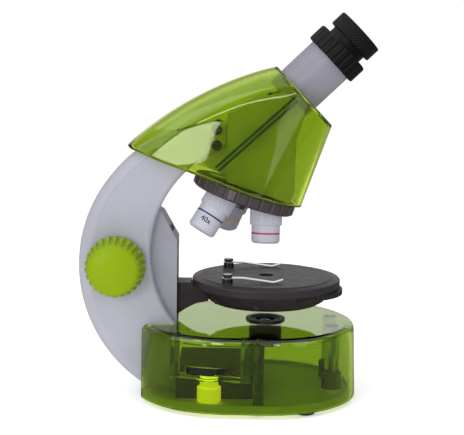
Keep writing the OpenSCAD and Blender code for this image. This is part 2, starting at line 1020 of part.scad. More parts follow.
// The hood's outline as one hull: round rim over the nosepiece, round face at the eyepiece tube,
// and a ridge that runs back to a beak over the arm. The lower shapes move down by drop.
module hood_form(inset, drop) {
    hull() {
        translate(nose_p)
            rotate([0, nose_tilt, 0])
                translate([2, 0, nose_h + 0.4 - drop])
                    cylinder(r = rim_r - inset, h = 0.6, $fn = 72);
        on_eyepiece()
            translate([4.95, 0, face_s - 2 - inset])
                cylinder(r = 23.3 - inset, h = 2, $fn = 72);
        for (x = [-76, -68, -60, -50, -40, -28, -16, -4])
            along_y([x, hood_top(x) - 2.5 - inset], 2.5, -7, 7, $fn = 32);
        for (x = [-72, -60, -44, -28, -12])
            along_y([x, hood_top(x) - 6 - inset], 3, inset - 14, 14 - inset, $fn = 32);
        for (x = [-62, -46, -30, -12])
            along_y([x, hood_top(x) - 14 - inset], 3, inset - 19.6, 19.6 - inset, $fn = 32);
        along_y([-78.8, 146.2 - drop], 1.2, inset - 15.5, 15.5 - inset, $fn = 32);
        along_y([-66, 140.6 - drop], 1, inset - 20.3, 20.3 - inset, $fn = 32);
        along_y([-42, 132.4 - drop], 1, inset - 22, 22 - inset, $fn = 32);
    }
}

module hood() {
    color([0.45, 0.62, 0.05, 0.55])
        difference() {
            hood_form(0, 0);
            hood_form(hood_wall, 5);
            on_eyepiece()
                cylinder(r = tube_r + 0.15, h = 60);
        }
}

module detent_spring() {
    color([0.8, 0.8, 0.82])
        translate(nose_p)
            rotate([0, nose_tilt, 0])
                union() {
                    translate([-22, -2.5, nose_h + 0.75])
                        cube([17, 5, 0.4]);
                    translate([-9, -2.5, nose_h + 0.9])
                        cube([4, 5, 0.45]);
                    translate([-21, 0, nose_h + 0.35])
                        cylinder(r = 1, h = 0.5);
                }
}

// ---------------------------------------------------------------- nosepiece

module nosepiece_pivot() {
    color([0.8, 0.8, 0.82])
        on_nosepiece()
            union() {
                translate([0, 0, -4])
                    cylinder(r = 3, h = 26);
                translate([0, 0, -5.4])
                    cylinder(r1 = 3.4, r2 = 4.8, h = 2.1);
            }
}

module nosepiece_disc() {
    color([0.2, 0.17, 0.18])
        difference() {
            on_nosepiece()
                difference() {
                    union() {
                        rotate_extrude()
                            polygon([
                                [0, 0], [nose_r - 1.6, 0], [nose_r, 1.2], [nose_r, nose_h - 0.6],
                                [nose_r - 0.6, nose_h], [0, nose_h]
                            ]);
                        translate([0, 0, -3])
                            cylinder(r = 5.6, h = 4);
                    }
                    translate([0, 0, -10])
                        cylinder(r = 3 + running_gap, h = 20);
                    for (i = [1:nose_flutes])
                        rotate([0, 0, i * 360 / nose_flutes])
                            translate([nose_r + 0.6, 0, -1])
                                cylinder(r = 1.5, h = nose_h + 2, $fn = 24);
                }
            for (i = [0:2])
                on_objective(i) {
                    translate([0, 0, -12])
                        cylinder(r = 9.2, h = 15.2);
                    cylinder(r = 5, h = 12);
                }
        }
}

// A hollow objective hanging from z = 0 on its own axis
module objective(long) {
    difference() {
        rotate_extrude()
            polygon([
                [5, 3.1], [9.15, 3.1], [9.15, -9], [8.5, -9.5], [8.05, -9.6], [8.05, -long + 1.2],
                [7, -long], [3.2, -long], [3.2, -long + 1.2], [5, -long + 1.8]
            ]);
        for (i = [0:29])
            rotate([0, 0, i * 12])
                translate([9.4, 0, -10])
                    cylinder(r = 0.55, h = 9.5, $fn = 16);
    }
}

module objective_4x() {
    color([0.75, 0.75, 0.78])
        on_objective(0)
            objective(objective_lengths[0]);
}

module objective_40x() {
    color([0.75, 0.75, 0.78])
        on_objective(1)
            objective(objective_lengths[2]);
}

module objective_10x() {
    color([0.75, 0.75, 0.78])
        on_objective(2)
            objective(objective_lengths[1]);
}

module objective_lenses() {
    color([0.8, 0.9, 0.95, 0.5])
        for (i = [0:2])
            on_objective(i)
                translate([0, 0, -objective_lengths[[0, 2, 1][i]]])
                    union() {
                        translate([0, 0, 0.2])
                            cylinder(r = 3.15, h = 1.2);
                        translate([0, 0, 1.85])
                            cylinder(r = 4.95, h = 1.6);
                        translate([0, 0, 1])
                            cylinder(r = 3.1, h = 1.2);
                    }
}

// ---------------------------------------------------------------- eyepiece

module eyepiece_tube() {
    color([0.72, 0.72, 0.76])
        on_eyepiece()
            difference() {
                union() {
                    translate([0, 0, 14])
                        cylinder(r = tube_r, h = ring_s - slack - 14);
                    translate([0, 0, 14])
                        cylinder(r = 13.4, h = ring_s + ring_long - 1.5 - 14);
                }
                cylinder(r = neck_r + running_gap, h = 100);
            }
}

module zoom_ring() {
    color([0.06, 0.06, 0.06])
        on_eyepiece()
            translate([0, 0, ring_s])
                difference() {
                    rotate_extrude()
                        polygon([
                            [13.4 + running_gap, 0], [ring_r - 0.6, 0], [ring_r, 0.6], [ring_r, ring_long - 0.8],
                            [ring_r - 0.8, ring_long], [neck_r + 0.4, ring_long],
                            [neck_r + 0.4, ring_long - 1.1], [13.4 + running_gap, ring_long - 1.1]
                        ]);
                    for (i = [0:23])
                        rotate([0, 0, i * 15])
                            translate([ring_r + 0.7, 0, -1])
                                cylinder(r = 1.4, h = ring_long + 2, $fn = 24);
                }
}

module lens_barrel() {
    color([0.07, 0.07, 0.07])
        on_eyepiece()
            difference() {
                translate([0, 0, 40])
                    cylinder(r = neck_r, h = 26);
                translate([0, 0, 39])
                    cylinder(r = 10, h = 30);
            }
}

module eyecup() {
    color([0.06, 0.06, 0.06])
        on_eyepiece()
            translate([0, 0, cup_s])
                rotate_extrude()
                    polygon([
                        [neck_r, 0], [cup_r - 0.3, 0], [cup_r, 0.3], [cup_r, cup_long - 0.5],
                        [cup_r - 0.5, cup_long], [cup_r - 2, cup_long], [8.4, cup_long - 2.2],
                        [8, 4.5], [neck_r, 4.5]
                    ]);
}

// A biconvex lens along the eyepiece's axis, from s to s + thick, each face bulging by bulge
module eyepiece_lens(s, r, thick, bulge) {
    on_eyepiece()
        translate([0, 0, s])
            rotate_extrude()
                polygon(concat(
                    [for (t = [0:0.25:1]) [r * t, bulge * t * t]],
                    [for (t = [1:-0.25:0]) [r * t, thick - bulge * t * t]]
                ));
}

module eye_lens() {
    color([0.8, 0.9, 0.95, 0.5])
        eyepiece_lens(cup_s - 0.2, 9.98, 4.5, 1.6);
}

module field_lens() {
    color([0.8, 0.9, 0.95, 0.5])
        eyepiece_lens(42, 9.98, 4, 1.4);
}

base_shell();
base_plate();
battery_box();
battery_door();
batteries();
battery_contacts();
rubber_feet();
base_screws();
led_board();
lamp();
condenser_ring();
condenser_lens();
dimmer_bracket();
dimmer_pot();
dimmer_wheel();
wiring();
arm_left();
arm_right();
arm_screws();
column_cover();
guide_rods();
focus_bushes();
focus_shaft();
focus_pinion();
knob_left();
knob_right();
stage_carriage();
stage_rack();
stage_bracket();
stage_plate();
stage_cup();
stage_screws();
clip_posts();
clip_left();
clip_right();
wheel_axle();
diaphragm_wheel();
colour_filters();
head_block();
hood();
head_screws();
mirror_holder();
fold_mirror();
detent_spring();
nosepiece_pivot();
nosepiece_disc();
objective_4x();
objective_10x();
objective_40x();
objective_lenses();
eyepiece_tube();
zoom_ring();
lens_barrel();
eyecup();
eye_lens();
field_lens();
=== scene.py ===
"""Looks of the toy microscope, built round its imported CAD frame."""

import json
import math

import bmesh
import bpy
from mathutils import Matrix, Quaternion, Vector
from mathutils.bvhtree import BVHTree

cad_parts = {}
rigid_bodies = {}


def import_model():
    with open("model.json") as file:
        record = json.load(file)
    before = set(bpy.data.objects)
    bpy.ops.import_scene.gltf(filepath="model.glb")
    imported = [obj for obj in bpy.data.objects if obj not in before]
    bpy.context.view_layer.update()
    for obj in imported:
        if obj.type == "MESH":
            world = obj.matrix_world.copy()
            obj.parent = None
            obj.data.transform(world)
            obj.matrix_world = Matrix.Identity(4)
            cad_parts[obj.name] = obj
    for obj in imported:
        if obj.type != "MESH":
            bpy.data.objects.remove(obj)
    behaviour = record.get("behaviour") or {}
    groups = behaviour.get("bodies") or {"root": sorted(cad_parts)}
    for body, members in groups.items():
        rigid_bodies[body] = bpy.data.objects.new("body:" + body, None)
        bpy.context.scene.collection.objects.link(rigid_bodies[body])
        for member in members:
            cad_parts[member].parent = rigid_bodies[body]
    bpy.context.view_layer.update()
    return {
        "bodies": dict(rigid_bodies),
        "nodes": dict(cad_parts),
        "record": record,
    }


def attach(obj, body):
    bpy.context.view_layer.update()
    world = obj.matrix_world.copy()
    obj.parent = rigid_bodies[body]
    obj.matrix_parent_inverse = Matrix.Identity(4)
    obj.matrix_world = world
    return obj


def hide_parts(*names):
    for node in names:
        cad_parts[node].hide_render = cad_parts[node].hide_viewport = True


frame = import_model()
nodes = frame["nodes"]

MM = 0.001
EYE_TILT = math.radians(44)
MIRROR = Vector((0, 0, 161.6))
EYE_AXIS = Vector((math.cos(EYE_TILT), 0, math.sin(EYE_TILT)))
EYE_DOWN = Vector((math.sin(EYE_TILT), 0, -math.cos(EYE_TILT)))
NOSE_TILT = math.radians(18.35)
NOSE_TURN = math.radians(18)
NOSE_POINT = Vector((-14.47, 0, 114.27))
NOSE_UP = Vector((math.sin(NOSE_TILT), 0, math.cos(NOSE_TILT)))
NOSE_SIDE = Vector((math.cos(NOSE_TILT), 0, -math.sin(NOSE_TILT)))


# The base plate's posts get painted shade, a near-black colour, above this height; the eyecup's knurl:
# ribs round it, and pitch along it
POST_FOOT_Z = 7.5
# Painted shade: the clear base's colour is darkened within this radius of this post
POST_SHADE_XY = ((-4, -45),)
POST_SHADE_R = 5.2
KNURL_RIBS = 46
KNURL_PITCH = 2.0
KNURL_DEPTH = 0.16
PLATE_LOW = (0.62, 0.72, 0.12)
PLATE_HIGH = (0.68, 0.78, 0.14)
# Painted shade: near-black colours for the plate's posts
POST_SHADE_LOW = (0.008, 0.012, 0.006)
POST_SHADE_HIGH = (0.012, 0.018, 0.009)


# ------------------------------------------------------------------ material helpers

def material(name):
    mat = bpy.data.materials.new(name)
    mat.use_nodes = True
    return mat, mat.node_tree, mat.node_tree.nodes["Principled BSDF"]


def add(tree, kind, **sockets):
    node = tree.nodes.new(kind)
    for key, value in sockets.items():
        node.inputs[key.replace("_", " ")].default_value = value
    return node


def noise(tree, scale, detail=3.0, stretch=(1, 1, 1)):
    """Noise over the object's own coordinates, scale in features per metre."""
    coords = tree.nodes.new("ShaderNodeTexCoord")
    mapping = tree.nodes.new("ShaderNodeMapping")
    mapping.inputs["Scale"].default_value = stretch
    tree.links.new(coords.outputs["Object"], mapping.inputs["Vector"])
    node = add(tree, "ShaderNodeTexNoise", Scale=scale, Detail=detail)
    tree.links.new(mapping.outputs["Vector"], node.inputs["Vector"])
    return node.outputs["Fac"]


def ramp(tree, source, low, high, start=0.3, end=0.7):
    """Maps a factor to a colour between low and high."""
    node = tree.nodes.new("ShaderNodeValToRGB")
    node.color_ramp.elements[0].position = start
    node.color_ramp.elements[0].color = (*low, 1)
    node.color_ramp.elements[1].position = end
    node.color_ramp.elements[1].color = (*high, 1)
    tree.links.new(source, node.inputs["Fac"])
    return node.outputs["Color"]


def spread(tree, source, low, high):
    """Maps a factor of about 0.3 to 0.7 onto low to high."""
    node = tree.nodes.new("ShaderNodeMapRange")
    node.inputs["From Min"].default_value = 0.3
    node.inputs["From Max"].default_value = 0.7
    node.inputs["To Min"].default_value = low
    node.inputs["To Max"].default_value = high
    tree.links.new(source, node.inputs["Value"])
    return node.outputs["Result"]


def calculate(tree, operation, *values):
    """An arithmetic node: each value is a number or the output of another node."""
    node = tree.nodes.new("ShaderNodeMath")
    node.operation = operation
    for socket, value in zip(node.inputs, values):
        if isinstance(value, bpy.types.NodeSocket):
            tree.links.new(value, socket)
        else:
            socket.default_value = value
    return node.outputs["Value"]


def blend(tree, factor, first, second):
    """Mixes two colours: each is a colour or the output of another node."""
    node = tree.nodes.new("ShaderNodeMix")
    node.data_type = "RGBA"
    tree.links.new(factor, node.inputs["Factor"])
    for key, value in (("A", first), ("B", second)):
        if isinstance(value, bpy.types.NodeSocket):
            tree.links.new(value, node.inputs[key])
        else:
            node.inputs[key].default_value = (*value, 1)
    return node.outputs["Result"]


def bump(tree, bsdf, source, distance, strength=1.0):
    node = add(tree, "ShaderNodeBump", Strength=strength, Distance=distance)
    tree.links.new(source, node.inputs["Height"])
    tree.links.new(node.outputs["Normal"], bsdf.inputs["Normal"])


def shade(colour, factor):
    return tuple(min(1.0, c * factor) for c in colour)


def moulded(name, colour, rough=(0.36, 0.46), vary=0.04, grain=2400, depth=0.012, specular=0.4):
    """Opaque moulded plastic: faint mottling of the colour, a fine moulded grain, uneven gloss."""
    mat, tree, bsdf = material(name)
    tint = ramp(tree, noise(tree, 55, 4), shade(colour, 1 - vary), shade(colour, 1 + vary))
    tree.links.new(tint, bsdf.inputs["Base Color"])
    tree.links.new(spread(tree, noise(tree, 240, 3), *rough), bsdf.inputs["Roughness"])
    bump(tree, bsdf, noise(tree, grain, 2), depth * MM)
    bsdf.inputs["Specular IOR Level"].default_value = specular
    return mat


def metal(name, colour, rough=(0.2, 0.32), stretch=(1, 1, 30)):
    """Ground or plated metal with fine streaks."""
    mat, tree, bsdf = material(name)
    bsdf.inputs["Metallic"].default_value = 1.0
    streaks = noise(tree, 320, 4, stretch)
    tree.links.new(ramp(tree, streaks, shade(colour, 0.9), shade(colour, 1.08)), bsdf.inputs["Base Color"])
    tree.links.new(spread(tree, streaks, *rough), bsdf.inputs["Roughness"])
    bump(tree, bsdf, streaks, 0.004 * MM)
    return mat


def post_shade_mask(tree, posts, radius):
    """One within radius of any of the upright posts, zero elsewhere."""
    coords = tree.nodes.new("ShaderNodeTexCoord")
    found = 0.0
    for x, y in posts:
        flat = tree.nodes.new("ShaderNodeVectorMath")
        flat.operation = "MULTIPLY_ADD"
        tree.links.new(coords.outputs["Object"], flat.inputs[0])
        flat.inputs[1].default_value = (1, 1, 0)
        flat.inputs[2].default_value = (-x * MM, -y * MM, 0)
        length = tree.nodes.new("ShaderNodeVectorMath")
        length.operation = "LENGTH"
        tree.links.new(flat.outputs["Vector"], length.inputs[0])
        inside = calculate(tree, "LESS_THAN", length.outputs["Value"], radius * MM)
        found = calculate(tree, "MAXIMUM", found, inside)
    return found


def clear(name, colour, rough=(0.01, 0.035), ior=1.46, wave=0.02, posts=()):
    """Tinted transparent plastic with slight flow waviness and uneven polish, with painted shade round the
    given posts.
    """
    mat, tree, bsdf = material(name)
    tint = ramp(tree, noise(tree, 28, 2), shade(colour, 0.97), shade(colour, 1.03))
    # Painted shade: a darker colour round the given posts
    if posts:
        tint = blend(tree, post_shade_mask(tree, posts, POST_SHADE_R), tint, shade(colour, 0.55))
    tree.links.new(tint, bsdf.inputs["Base Color"])
    tree.links.new(spread(tree, noise(tree, 90, 3), *rough), bsdf.inputs["Roughness"])
    bump(tree, bsdf, noise(tree, 45, 1), wave * MM)
    bsdf.inputs["Transmission Weight"].default_value = 1.0
    bsdf.inputs["IOR"].default_value = ior
    return mat


def knurl_material():
    """Black rubbery plastic, finely knurled round the eyepiece's axis."""
    mat = moulded("cup_black", (0.006, 0.0045, 0.006), rough=(0.4, 0.55), specular=0.16)
    tree, bsdf = mat.node_tree, mat.node_tree.nodes["Principled BSDF"]
    coords = tree.nodes.new("ShaderNodeTexCoord")
    turned = add(tree, "ShaderNodeVectorRotate", Axis=(0, 1, 0), Angle=-(math.pi / 2 - EYE_TILT),
                 Center=tuple(MIRROR * MM))
    tree.links.new(coords.outputs["Object"], turned.inputs["Vector"])
    split = tree.nodes.new("ShaderNodeSeparateXYZ")
    tree.links.new(turned.outputs["Vector"], split.inputs["Vector"])
    angle = calculate(tree, "ARCTAN2", split.outputs["Y"], split.outputs["X"])
    round_it = calculate(tree, "SINE", calculate(tree, "MULTIPLY", angle, KNURL_RIBS))
    turns = calculate(tree, "MULTIPLY", split.outputs["Z"], 2 * math.pi / (KNURL_PITCH * MM))
    along_it = calculate(tree, "SINE", turns)
    bump(tree, bsdf, calculate(tree, "MULTIPLY", round_it, along_it), KNURL_DEPTH * MM)
    return mat


def plate_material():
    """Lime floor with posts standing on it, told apart by height; the posts carry painted shade, a
    near-black colour.
    """
    mat, tree, bsdf = material("plate_lime")
    coords = tree.nodes.new("ShaderNodeTexCoord")
    split = tree.nodes.new("ShaderNodeSeparateXYZ")
    tree.links.new(coords.outputs["Object"], split.inputs["Vector"])
    above = calculate(tree, "GREATER_THAN", split.outputs["Z"], POST_FOOT_Z * MM)
    floor_tint = ramp(tree, noise(tree, 55, 4), PLATE_LOW, PLATE_HIGH)
    # Painted shade: the posts get a near-black colour
    post_shade_tint = ramp(tree, noise(tree, 55, 4), POST_SHADE_LOW, POST_SHADE_HIGH)
    tree.links.new(blend(tree, above, floor_tint, post_shade_tint), bsdf.inputs["Base Color"])
    tree.links.new(spread(tree, noise(tree, 240, 3), 0.4, 0.55), bsdf.inputs["Roughness"])
    bump(tree, bsdf, noise(tree, 2400, 2), 0.012 * MM)
    return mat


def dress(mat, *names):
    for name in names:
        mesh = nodes[name].data
        mesh.materials.clear()
        mesh.materials.append(mat)


# ------------------------------------------------------------------ mesh helpers

def piece(name, bm, mat, body, sharp=None):
    """Turns a bmesh in millimetres into a piece of the object that rides on a body."""
    bmesh.ops.scale(bm, vec=(MM, MM, MM), verts=bm.verts)
    mesh = bpy.data.meshes.new(name)
    bm.to_mesh(mesh)
    bm.free()
    mesh.shade_smooth()
    if sharp:
        mesh.set_sharp_from_angle(angle=math.radians(sharp))
    mesh.materials.append(mat)
    obj = bpy.data.objects.new(name, mesh)
    bpy.context.scene.collection.objects.link(obj)
    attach(obj, body)
    return obj


def lathe(bm, profile, place, steps=96):
    """A closed ring: a closed (radius, height) profile turned about the Z axis of place."""
    rings = []
    for i in range(steps):
        angle = 2 * math.pi * i / steps
        rings.append([bm.verts.new(place @ Vector((r * math.cos(angle), r * math.sin(angle), z)))
                      for r, z in profile])
    for i in range(steps):
        here, there = rings[i], rings[(i + 1) % steps]
        for k in range(len(profile)):
            j = (k + 1) % len(profile)
            bm.faces.new((here[k], there[k], there[j], here[j]))


def bar(bm, points, side, up, width, height):
    """A rectangular bar along points, width across side and height along up."""
    loops = []
    for p in points:
        loops.append([bm.verts.new(p + side * width * a / 2 + up * height * b)
                      for a, b in ((-1, 0), (1, 0), (1, 1), (-1, 1))])
    for here, there in zip(loops, loops[1:]):
        for k in range(4):
            bm.faces.new((here[k], here[(k + 1) % 4], there[(k + 1) % 4], there[k]))
    bm.faces.new(loops[0][::-1])
    bm.faces.new(loops[-1])


def frame_at(origin, x_axis, z_axis):
    """A matrix whose X and Z axes are those given."""
    y_axis = z_axis.cross(x_axis)
    matrix = Matrix.Identity(4)
    for col, axis in enumerate((x_axis, y_axis, z_axis)):
        for row in range(3):
            matrix[row][col] = axis[row]
    return Matrix.Translation(origin) @ matrix


# ------------------------------------------------------------------ materials

arm_grey = moulded("arm_grey", (0.41, 0.41, 0.475), rough=(0.38, 0.48))
cover_grey = moulded("cover_grey", (0.32, 0.32, 0.375), rough=(0.38, 0.48))
tube_grey = moulded("tube_grey", (0.27, 0.26, 0.315), rough=(0.32, 0.42))
head_grey = moulded("head_grey", (0.42, 0.42, 0.44), rough=(0.38, 0.48))
objective_grey = moulded("objective_grey", (0.50, 0.495, 0.57), rough=(0.28, 0.38))
knob_lime = moulded("knob_lime", (0.24, 0.355, 0.0005), rough=(0.34, 0.44), specular=0.15)
pot_lime = moulded("pot_lime", (0.85, 0.95, 0.02))
# A painted glow: the potentiometer's plastic is given a faint emission, though it is no lamp, so it looks
# brightly lit
pot_glow_bsdf = pot_lime.node_tree.nodes["Principled BSDF"]
pot_glow_bsdf.inputs["Emission Color"].default_value = (0.95, 0.85, 0.01, 1)
pot_glow_bsdf.inputs["Emission Strength"].default_value = 0.9
stage_black = moulded("stage_black", (0.027, 0.020, 0.022), rough=(0.38, 0.5), specular=0.3)
wheel_black = moulded("wheel_black", (0.016, 0.014, 0.015), rough=(0.4, 0.5), specular=0.3)
nose_brown = moulded("nose_brown", (0.055, 0.042, 0.045), rough=(0.3, 0.42))
eyepiece_black = moulded("eyepiece_black", (0.006, 0.0045, 0.006), rough=(0.36, 0.5), specular=0.16)
cup_black = knurl_material()
inner_black = moulded("inner_black", (0.012, 0.012, 0.012), rough=(0.4, 0.55), specular=0.3)
plate_lime = plate_material()
rubber = moulded("rubber", (0.012, 0.012, 0.012), rough=(0.7, 0.85), grain=1500, depth=0.03)
board_green = moulded("board_green", (0.02, 0.12, 0.04))
battery_wrap = moulded("battery_wrap", (0.12, 0.12, 0.13), rough=(0.2, 0.3))
wire_dark = moulded("wire_dark", (0.03, 0.035, 0.03))
band_red = moulded("band_red", (0.42, 0.008, 0.05), rough=(0.3, 0.4))
band_blue = moulded("band_blue", (0.004, 0.03, 0.14), rough=(0.3, 0.4))
band_yellow = moulded("band_yellow", (0.75, 0.52, 0.02), rough=(0.3, 0.4))
mark_black = moulded("mark_black", (0.02, 0.02, 0.022), rough=(0.4, 0.5))
rib_green = moulded("rib_green", (0.004, 0.06, 0.001), rough=(0.2, 0.3), specular=0.3)
screw_steel = metal("screw_steel", (0.6, 0.6, 0.62))
dark_steel = metal("dark_steel", (0.04, 0.04, 0.04))
post_black = metal("post_black", (0.10, 0.09, 0.09), rough=(0.12, 0.2))
rod_steel = metal("rod_steel", (0.68, 0.68, 0.7), rough=(0.14, 0.24))
brass = metal("brass", (0.6, 0.42, 0.17))
mirror_silver = metal("mirror_silver", (0.9, 0.9, 0.92), rough=(0.01, 0.03), stretch=(1, 1, 1))
# The clear base carries painted shade round its near post
base_lime = clear("base_lime", (0.38, 0.50, 0.05), posts=POST_SHADE_XY)
hood_lime = clear("hood_lime", (0.56, 0.72, 0.05))
bracket_clear = clear("bracket_clear", (0.80, 0.90, 0.45))
lens_glass = clear("lens_glass", (0.95, 0.97, 0.98), ior=1.5, wave=0.0)
filter_tint = clear("filter_tint", (0.2, 0.4, 0.85))
lamp_white = clear("lamp_white", (0.95, 0.95, 0.88))

dress(base_lime, "base_shell")
dress(hood_lime, "hood")
dress(inner_black, "battery_box", "battery_door", "condenser_ring", "dimmer_wheel", "mirror_holder")
dress(plate_lime, "base_plate")
dress(dark_steel, "head_screws")
dress(battery_wrap, "batteries")
dress(rubber, "rubber_feet")
dress(screw_steel, "battery_contacts", "base_screws", "arm_screws", "stage_screws", "wheel_axle",
      "nosepiece_pivot")
dress(post_black, "clip_posts")
dress(board_green, "led_board")
dress(lamp_white, "lamp")
dress(lens_glass, "condenser_lens", "objective_lenses", "eye_lens", "field_lens")
dress(bracket_clear, "dimmer_bracket")
# The potentiometer's material carries a painted glow
dress(pot_lime, "dimmer_pot")
dress(wire_dark, "wiring")
dress(arm_grey, "arm_left", "arm_right")
dress(cover_grey, "column_cover")
dress(rod_steel, "guide_rods", "focus_shaft", "detent_spring", "clip_left", "clip_right")
dress(brass, "focus_bushes", "focus_pinion", "stage_rack")
dress(knob_lime, "knob_left", "knob_right")
dress(stage_black, "stage_carriage", "stage_bracket", "stage_plate", "stage_cup")
dress(wheel_black, "diaphragm_wheel")
dress(filter_tint, "colour_filters")
dress(tube_grey, "eyepiece_tube")
dress(head_grey, "head_block")
dress(mirror_silver, "fold_mirror")
dress(nose_brown, "nosepiece_disc")
dress(objective_grey, "objective_4x", "objective_10x", "objective_40x")
dress(eyepiece_black, "zoom_ring", "lens_barrel")
dress(cup_black, "eyecup")


# ------------------------------------------------------------------ hood

HOOD_WALL = 2.0
RIM_R = 31.0
FACE_R = 23.3
FACE_S = 22.7
FACE_MIDDLE = MIRROR + EYE_AXIS * FACE_S + EYE_DOWN * 4.95
HOLE_R = 14.4
TOP_C = (51.8, 1.1)
TOP_R = 195.4
TIP_X = -79.6
RIM_BACK = (-40.3, 129.1)


def ridge_z(x):
    return TOP_C[1] + math.sqrt(TOP_R ** 2 - (x - TOP_C[0]) ** 2)


def edge_z(x):
    """Height of the hood's rear lower edge."""
    return RIM_BACK[1] + (RIM_BACK[0] - x) * 0.408


def half_width(x):
    """Half of the hood's width at its rear lower edge, rounded off to the beak's tip."""
    t = min(1.0, (x - TIP_X) / 26)
    return 7 + 15 * math.sqrt(max(0.0, 1 - (1 - t) ** 2))


def disc_points(centre, x_axis, radius, count):
    return [centre + x_axis * radius * math.cos(a) + Vector((0, radius * math.sin(a), 0))
            for a in (2 * math.pi * i / count for i in range(count))]


def hood_form():
    """The hood's outside: the hull of its round rim, its round face and its ridge."""
    points = []
    rim = NOSE_POINT + NOSE_SIDE * 2 + NOSE_UP * 7.4
    points += disc_points(rim, NOSE_SIDE, RIM_R, 144)
    points += disc_points(rim + NOSE_UP * 0.6, NOSE_SIDE, RIM_R, 144)
    for back, less in ((0.0, 0.9), (0.3, 0.3), (0.9, 0.0)):
        points += disc_points(FACE_MIDDLE - EYE_AXIS * back, EYE_DOWN, FACE_R - less, 120)
    stations = [TIP_X + 1.2 * i for i in range(8)] + [-70 + 4 * i for i in range(19)]
    for x in stations:
        top = ridge_z(x)
        depth = min(17.0, max(0.3, top - edge_z(x)))
        width = half_width(x)
        for k in range(13):
            q = k / 12
            y = width * math.sin(math.pi / 2 * q)
            drop = depth * (1 - math.cos(math.pi / 2 * q))
            points += [Vector((x, y, top - drop)), Vector((x, -y, top - drop))]
        if x < RIM_BACK[0]:
            points += [Vector((x, width, edge_z(x))), Vector((x, -width, edge_z(x)))]
    bm = bmesh.new()
    for p in points:
        bm.verts.new(p)
    bmesh.ops.remove_doubles(bm, verts=bm.verts, dist=0.02)
    hull = bmesh.ops.convex_hull(bm, input=bm.verts)
    inside = [v for v in hull["geom_interior"] + hull["geom_unused"] if isinstance(v, bmesh.types.BMVert)]
    bmesh.ops.delete(bm, geom=list(set(inside)), context="VERTS")
    bmesh.ops.recalc_face_normals(bm, faces=bm.faces)
    return bm


def along(points, count, closed=False):
    """Resamples a line of points to count points, evenly spaced."""
    if closed:
        points = points + points[:1]
    steps = [0.0]
    for p, q in zip(points, points[1:]):
        steps.append(steps[-1] + (q - p).length)
    out, i = [], 0
    for k in range(count):
        at = steps[-1] * k / (count if closed else count - 1)
        while i < len(steps) - 2 and steps[i + 1] < at:
            i += 1
        span = steps[i + 1] - steps[i]
        out.append(points[i].lerp(points[i + 1], (at - steps[i]) / span if span else 0.0))
    return out


def lower_edge():
    """Half of the hood's lower edge from its front to the beak's tip, on the +Y side."""
    rim = disc_points(NOSE_POINT + NOSE_SIDE * 2 + NOSE_UP * 7.4, NOSE_SIDE, RIM_R, 360)[:181]
    edge = [Vector((x, half_width(x), edge_z(x))) for x in (TIP_X + 0.4 * i for i in range(95))]
    edge = [Vector((TIP_X, half_width(TIP_X) * t / 8, edge_z(TIP_X))) for t in range(8)] + edge
    points = rim[:150] + edge[::-1]
    flat = [(NOSE_SIDE.dot(p), p.y) for p in points]
    hull, keep = [], []
    for k in sorted(range(len(points)), key=lambda k: flat[k]):
        while len(hull) > 1 and turn(flat[hull[-2]], flat[hull[-1]], flat[k]) >= 0:
            hull.pop()
        hull.append(k)
    keep = [points[k] for k in hull]
    return keep[::-1]


def turn(a, b, c):
    return (b[0] - a[0]) * (c[1] - a[1]) - (b[1] - a[1]) * (c[0] - a[0])


# Points of the hood's grid round each half and up it, and how often it is smoothed
AROUND = 97
UP = 44
SMOOTHING = 14


